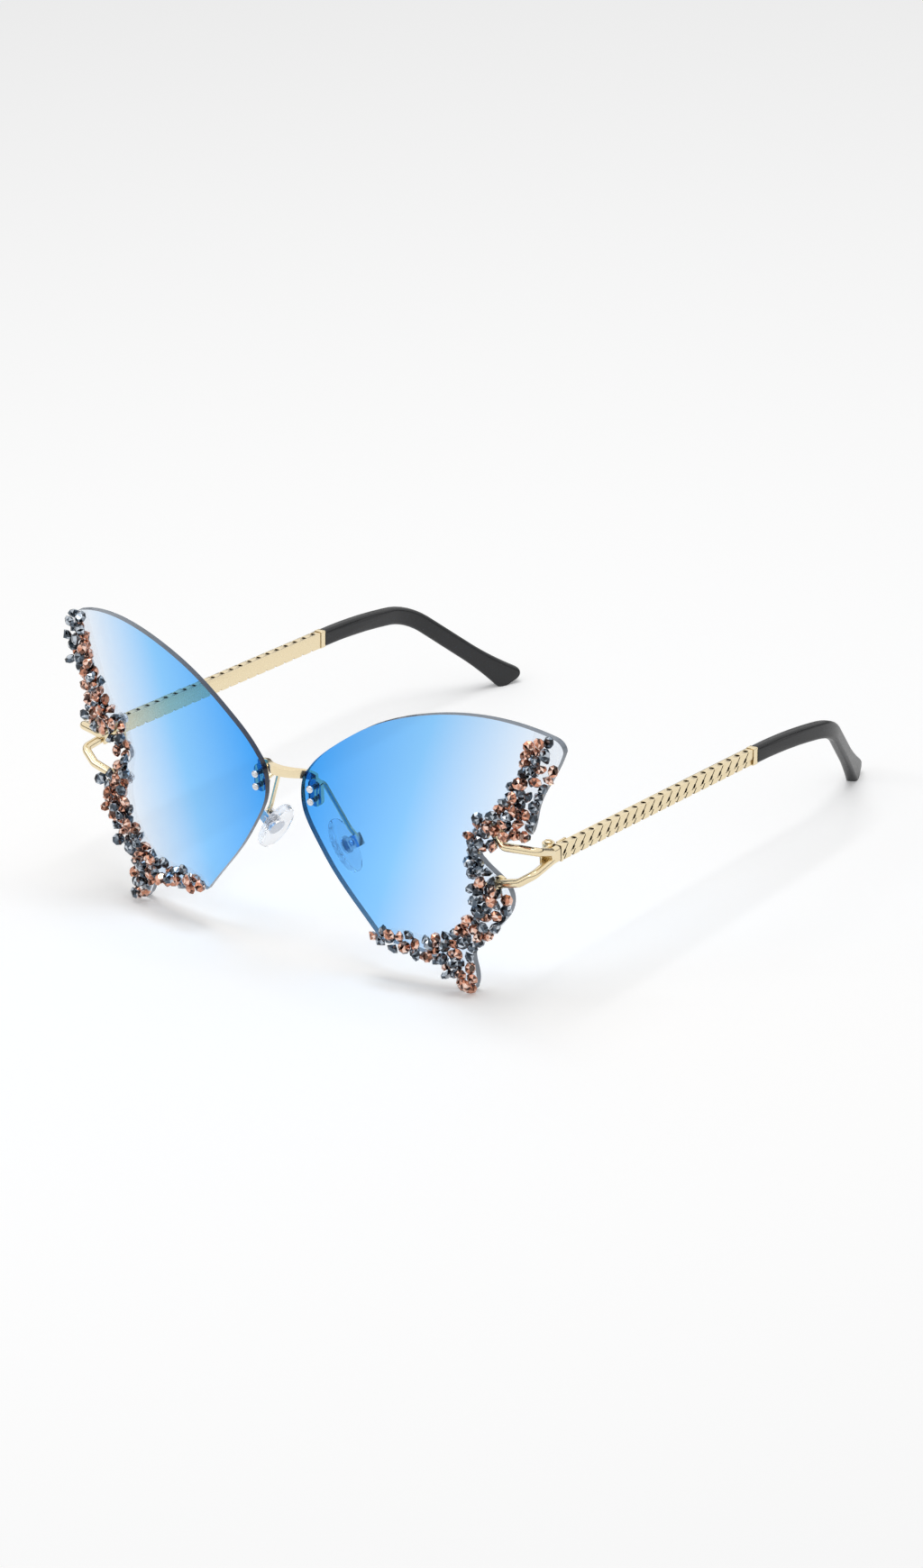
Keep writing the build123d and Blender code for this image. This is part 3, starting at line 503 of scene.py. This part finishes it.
def round_lens_faces(piece, settings):
    """Divides the curved faces in upright strips and moves their corners onto the true curve."""
    low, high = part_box("lens_right")
    axis_y = wrap_axis_y(settings)
    start_editing(piece)
    x = low.x
    mirror_sign = 1 if piece.data.vertices[0].co.x > 0 else -1
    while x < high.x:
        bpy.ops.mesh.select_all(action="SELECT")
        bpy.ops.mesh.bisect(plane_co=(mirror_sign * x, 0, 0), plane_no=(1, 0, 0), threshold=WELD)
        x += settings.strip_width
    stop_editing()
    reach = settings.thickness / 4
    for vertex in piece.data.vertices:
        spoke = Vector((vertex.co.x, vertex.co.y - axis_y))
        for radius in (settings.wrap_radius, settings.wrap_radius - settings.thickness):
            if abs(spoke.length - radius) < reach:
                vertex.co.y = axis_y - math.sqrt(radius ** 2 - vertex.co.x ** 2)
    return axis_y


def wrap_axis_y(settings):
    """Where the axis that the lenses wrap round stands: behind the lens's innermost front corner."""
    corners = (vertex.co for vertex in frame["nodes"]["lens_right"].data.vertices)
    inner = min(corners, key=lambda co: (round(co.x, 5), co.y))
    return inner.y + math.sqrt(settings.wrap_radius ** 2 - inner.x ** 2)


def make_lens(side, settings, tint, edge):
    node = "lens_" + side
    piece = welded_copy("tinted_lens_" + side, node)
    axis_y = round_lens_faces(piece, settings)
    stand_in(piece, node, "lens_tint", tint, edge)
    for face in piece.data.polygons:
        spoke = Vector((face.center.x, face.center.y - axis_y, 0)).normalized()
        face.material_index = 0 if abs(spoke.dot(face.normal)) > LENS_FACE_NORMAL else 1
    apply_modifier(
        piece, "BEVEL", width=settings.edge_ease, segments=2, limit_method="ANGLE",
        angle_limit=math.radians(LENS_CORNER_DEGREES), material=1)
    shade_by_angle(piece, LENS_SMOOTH_DEGREES)


class GLASSES_OT_lenses(bpy.types.Operator):
    """Shape and tint the two lenses"""

    bl_idname = "glasses.lenses"
    bl_label = "Lenses"

    def execute(self, context):
        settings = context.scene.glasses_lens
        tint, edge = tinted_lens(settings), ground_edge(settings)
        for side in SIDES:
            make_lens(side, settings, tint, edge)
        return {"FINISHED"}


def model_stone(settings):
    """One pointed stone about its own centre, table up: a short cylinder drawn out to a crown and a point."""
    deselect()
    half_step = math.pi / STONE_SIDES
    bpy.ops.mesh.primitive_cylinder_add(vertices=STONE_SIDES, radius=settings.radius, depth=settings.girdle)
    stone = bpy.context.active_object
    start_editing(stone)
    half = settings.girdle / 2
    crown = (1, settings.crown, TABLE_SHARE)
    upper_point = (-1, settings.pavilion * POINT_BREAK, POINT_BREAK_SHARE)
    for up, drop, share in (crown, upper_point):
        select_faces(stone, lambda face: face.normal.z * up > FLAT_NORMAL)
        bpy.ops.mesh.extrude_region_move(TRANSFORM_OT_translate={"value": (0, 0, up * drop)})
        middle = (0, 0, up * (half + drop))
        bpy.ops.transform.resize(value=(share, share, 1), center_override=middle)
        bpy.ops.transform.rotate(value=half_step, orient_axis="Z", center_override=middle)
    select_faces(stone, lambda face: face.normal.z < -FLAT_NORMAL)
    lower_point = settings.pavilion * (1 - POINT_BREAK)
    bpy.ops.mesh.extrude_region_move(TRANSFORM_OT_translate={"value": (0, 0, -lower_point)})
    bpy.ops.mesh.merge(type="CENTER")
    bpy.ops.mesh.select_all(action="SELECT")
    bpy.ops.mesh.quads_convert_to_tris(quad_method="SHORTEST_DIAGONAL")
    bpy.ops.mesh.normals_make_consistent(inside=False)
    stop_editing()
    return stone


def stone_places(node, settings):
    """Where each stone of a modelled group stands: its middle and its turn, found from its corners."""
    mesh = bmesh.new()
    mesh.from_mesh(frame["nodes"][node].data)
    bmesh.ops.remove_doubles(mesh, verts=mesh.verts, dist=WELD)
    left = set(mesh.verts)
    places = []
    for first in mesh.verts:
        if first not in left:
            continue
        stone, edge = [], [first]
        left.discard(first)
        while edge:
            corner = edge.pop()
            stone.append(corner.co.copy())
            for link in corner.link_edges:
                other = link.other_vert(corner)
                if other in left:
                    left.discard(other)
                    edge.append(other)
        middle = sum(stone, Vector()) / len(stone)
        lean = sum(((co - middle) * (co - middle).length_squared for co in stone), Vector())
        up = -lean.normalized()
        point = min(stone, key=lambda co: (co - middle).dot(up))
        centre = point + up * (settings.pavilion + settings.girdle / 2)
        spoke = max(stone, key=lambda co: (co - centre).cross(up).length) - centre
        across = (spoke - up * spoke.dot(up)).normalized()
        turn = Matrix((across, up.cross(across), up)).transposed().to_4x4()
        places.append(Matrix.Translation(centre) @ turn)
    mesh.free()
    return places


def make_stones(stone, colour, side, settings, made, draw):
    """Copies the one stone to each place of a group, and gives every facet a random tone, which the material turns
    into painted reflections and highlights.
    """
    node = colour + "_crystals_" + side
    copies = []
    for place in stone_places(node, settings):
        copy = bpy.data.objects.new(colour + "_stone", stone.data.copy())
        bpy.context.scene.collection.objects.link(copy)
        copy.data.transform(place @ Matrix.Scale(settings.growth, 4))
        copies.append(copy)
    deselect()
    for copy in copies:
        copy.select_set(True)
    group = copies[0]
    bpy.context.view_layer.objects.active = group
    bpy.ops.object.join()
    group.name = colour + "_stones_" + side
    keep_inside(group)
    # Painted reflections: a random tone per facet picks how dark or bright the facet's reflection is painted.
    tones = group.data.attributes.new("facet_painted_reflection", "FLOAT", "FACE")
    for facet in tones.data:
        facet.value = draw.random()
    stand_in(group, node, colour + "_crystal", made)


def keep_inside(group):
    """Moves the few corners of grown stones that pass the glasses' own size back onto it."""
    low, high = cad_box
    for vertex in group.data.vertices:
        vertex.co = [min(max(value, least), most) for value, least, most in zip(vertex.co, low, high)]


class GLASSES_OT_crystals(bpy.types.Operator):
    """Set the copper and grey stones along the lenses' outer edges"""

    bl_idname = "glasses.crystals"
    bl_label = "Crystals"

    def execute(self, context):
        settings = context.scene.glasses_crystal
        draw = random.Random(settings.seed)
        copper = foiled_glass(
            "copper_foiled_glass", settings.copper_dark_reflection, settings.copper_middle, settings.copper_highlight)
        grey = foiled_glass(
            "grey_foiled_glass", settings.grey_dark_reflection, settings.grey_middle, settings.grey_highlight)
        stone = model_stone(settings)
        for side in SIDES:
            make_stones(stone, "copper", side, settings, copper, draw)
            make_stones(stone, "grey", side, settings, grey, draw)
        bpy.data.objects.remove(stone)
        adhesive = clear_adhesive()
        for side in SIDES:
            dress("adhesive_bed_" + side, adhesive)
        return {"FINISHED"}


class GLASSES_OT_metalwork(bpy.types.Operator):
    """Round over and plate the bridge, the end pieces, the hinges and the nose pads' arms"""

    bl_idname = "glasses.metalwork"
    bl_label = "Metalwork"

    def execute(self, context):
        settings = context.scene.glasses_metal
        gold, steel = plated_gold(settings), nickel_steel(settings)
        bridge = eased_copy("bridge_bar", "bridge", settings.bridge_ease)
        stand_in(bridge, "bridge", "gold", gold)
        for side in SIDES:
            for name in ("front_hinge_", "temple_hinge_"):
                piece = eased_copy("plated_" + name + side, name + side, settings.small_ease)
                stand_in(piece, name + side, "gold", gold)
            for name in ("end_piece_", "pad_arm_", "hinge_screw_"):
                dress(name + side, gold)
            box = eased_copy("pad_clevis_" + side, "pad_box_" + side, settings.small_ease)
            stand_in(box, "pad_box_" + side, "silver", steel)
            for name in ("bridge_screws_", "bridge_nuts_", "end_piece_screws_", "end_piece_nuts_",
                         "pad_screw_", "pad_insert_", "tip_core_"):
                dress(name + side, steel)
        return {"FINISHED"}


class GLASSES_OT_temples(bpy.types.Operator):
    """Round over and plate the temples' links and the collars behind them"""

    bl_idname = "glasses.temples"
    bl_label = "Temples"

    def execute(self, context):
        settings = context.scene.glasses_metal
        gold = cast_gold(settings)
        for side in SIDES:
            for name in ("temple_", "temple_collar_"):
                piece = eased_copy("cast_" + name + side, name + side, settings.small_ease)
                stand_in(piece, name + side, "gold", gold)
        return {"FINISHED"}


class GLASSES_OT_plastics(bpy.types.Operator):
    """Finish the nose pads, the washers and the black sleeves"""

    bl_idname = "glasses.plastics"
    bl_label = "Pads and sleeves"

    def execute(self, context):
        settings = context.scene.glasses_plastic
        silicone, acetate = clear_silicone(settings), black_acetate(settings)
        for side in SIDES:
            dress("nose_pad_" + side, silicone)
            dress("end_piece_washers_" + side, silicone)
            sleeve = eased_copy("acetate_sleeve_" + side, "temple_tip_" + side, settings.sleeve_ease)
            stand_in(sleeve, "temple_tip_" + side, "black_sleeve", acetate)
        return {"FINISHED"}


# Studio

def seen_rays(tree):
    """1 for rays that the eye follows, straight, by a mirror or through glass, and 0 for the light's own."""
    path = add_node(tree, "ShaderNodeLightPath")
    either = add_node(tree, "ShaderNodeMath", {
        0: path.outputs["Is Camera Ray"], 1: path.outputs["Is Glossy Ray"]}, operation="MAXIMUM")
    seen = add_node(tree, "ShaderNodeMath", {
        0: either.outputs["Value"], 1: path.outputs["Is Transmission Ray"]}, operation="MAXIMUM")
    return seen.outputs["Value"]


def floor_paint():
    """Matt white sweep that shows as white, and still takes the glasses' shadow."""
    made, tree = new_material("white_sweep")
    matt = add_node(tree, "ShaderNodeBsdfDiffuse", {"Color": linear("#F4F4F4")})
    glow = add_node(tree, "ShaderNodeEmission", {"Color": linear("#FFFFFF"), "Strength": 0.2})
    nothing = add_node(tree, "ShaderNodeEmission", {"Strength": 0.0})
    lift = add_node(tree, "ShaderNodeMixShader", {"Fac": seen_rays(tree)})
    tree.links.new(nothing.outputs["Emission"], lift.inputs[1])
    tree.links.new(glow.outputs["Emission"], lift.inputs[2])
    both = add_node(tree, "ShaderNodeAddShader")
    tree.links.new(matt.outputs["BSDF"], both.inputs[0])
    tree.links.new(lift.outputs["Shader"], both.inputs[1])
    finish_surface(tree, both.outputs["Shader"])
    return made


def room_light(settings):
    """Even grey light from all round, which shows as plain white."""
    world = bpy.data.worlds.new("studio")
    world.use_nodes = True
    tree = world.node_tree
    tree.nodes.clear()
    strength = add_node(tree, "ShaderNodeMapRange", {
        "Value": seen_rays(tree), "To Min": settings.ambient, "To Max": 1.0})
    light = add_node(tree, "ShaderNodeBackground", {
        "Color": linear("#FFFFFF"), "Strength": strength.outputs["Result"]})
    add_node(tree, "ShaderNodeOutputWorld", {"Surface": light.outputs["Background"]})
    bpy.context.scene.world = world


def dark_horizon(radius, height):
    """A low dark wall far round the glasses that only polished surfaces see, as a thin dark line."""
    deselect()
    bpy.ops.mesh.primitive_cylinder_add(
        vertices=96, radius=radius, depth=height, end_fill_type="NOTHING", location=(0, 0, height / 2))
    wall = bpy.context.active_object
    wall.name = "dark_horizon"
    made, tree = new_material("dark_cloth")
    cloth = add_node(tree, "ShaderNodeBsdfDiffuse", {"Color": linear("#2B2724")})
    finish_surface(tree, cloth.outputs["BSDF"])
    wall.data.materials.append(made)
    wall.visible_camera = wall.visible_diffuse = wall.visible_transmission = wall.visible_shadow = False


def add_softbox(name, size, power, place, aim):
    deselect()
    bpy.ops.object.light_add(type="AREA", location=place)
    lamp = bpy.context.active_object
    lamp.name = name
    lamp.data.shape = "RECTANGLE"
    lamp.data.size, lamp.data.size_y = size
    lamp.data.energy = power
    lamp.rotation_euler = (Vector(place) - Vector(aim)).to_track_quat("Z", "Y").to_euler()


class GLASSES_OT_stage(bpy.types.Operator):
    """Lay the floor, hang the lights and set the camera at the photograph's angle"""

    bl_idname = "glasses.stage"
    bl_label = "Stage"

    def execute(self, context):
        settings = context.scene.glasses_stage
        deselect()
        bpy.ops.mesh.primitive_plane_add(size=settings.floor_size, location=(0, 0, cad_box[0][2] - 0.01 * MM))
        floor = context.active_object
        floor.name = "floor"
        floor.data.materials.append(floor_paint())
        room_light(settings)
        dark_horizon(settings.horizon_radius, settings.horizon_height)
        box, high = settings.softbox_size, settings.softbox_height
        add_softbox("softbox_overhead", (box, box), settings.softbox_power, (0, 0, high), (0, 0, 0))
        add_softbox(
            "strip_in_front", (box / 2, box / 4), settings.side_power, (-box / 2, -box, high / 2), (0, 0, 0))
        bpy.ops.object.camera_add()
        camera = context.active_object
        camera.name = "photo_camera"
        camera.data.lens = settings.lens_length
        camera.data.clip_end = 2 * settings.floor_size
        front = Vector((0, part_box("lens_right")[0].y, 0))
        camera.matrix_world = (
            Matrix.Translation(front + CAMERA_AIM)
            @ Matrix.Rotation(settings.azimuth, 4, "Z")
            @ Matrix.Rotation(math.pi / 2 - settings.elevation, 4, "X")
            @ Matrix.Rotation(settings.roll, 4, "Z")
            @ Matrix.Translation((0, 0, settings.distance)))
        context.scene.camera = camera
        context.scene.view_settings.view_transform = "Standard"
        return {"FINISHED"}


OPERATORS = [
    GLASSES_OT_lenses, GLASSES_OT_crystals, GLASSES_OT_metalwork, GLASSES_OT_temples, GLASSES_OT_plastics,
    GLASSES_OT_stage,
]


class GLASSES_PT_sidebar(bpy.types.Panel):
    """The sunglasses' pieces, in the order that they are made"""

    bl_idname = "GLASSES_PT_sidebar"
    bl_label = "Butterfly Sunglasses"
    bl_space_type = "VIEW_3D"
    bl_region_type = "UI"
    bl_category = "Sunglasses"

    def draw(self, context):
        for operator in OPERATORS:
            self.layout.operator(operator.bl_idname)
        for name, group in SETTINGS.items():
            settings = getattr(context.scene, name)
            for field in group.__annotations__:
                self.layout.prop(settings, field)


def register():
    for group in SETTINGS.values():
        bpy.utils.register_class(group)
    for name, group in SETTINGS.items():
        setattr(bpy.types.Scene, name, PointerProperty(type=group))
    for kind in OPERATORS + [GLASSES_PT_sidebar]:
        bpy.utils.register_class(kind)


def unregister():
    for kind in reversed(OPERATORS + [GLASSES_PT_sidebar]):
        bpy.utils.unregister_class(kind)
    for name, group in SETTINGS.items():
        delattr(bpy.types.Scene, name)
        bpy.utils.unregister_class(group)


def main():
    register()
    bpy.ops.glasses.lenses()
    bpy.ops.glasses.crystals()
    bpy.ops.glasses.metalwork()
    bpy.ops.glasses.temples()
    bpy.ops.glasses.plastics()
    bpy.ops.glasses.stage()


if __name__ == "__main__":
    main()
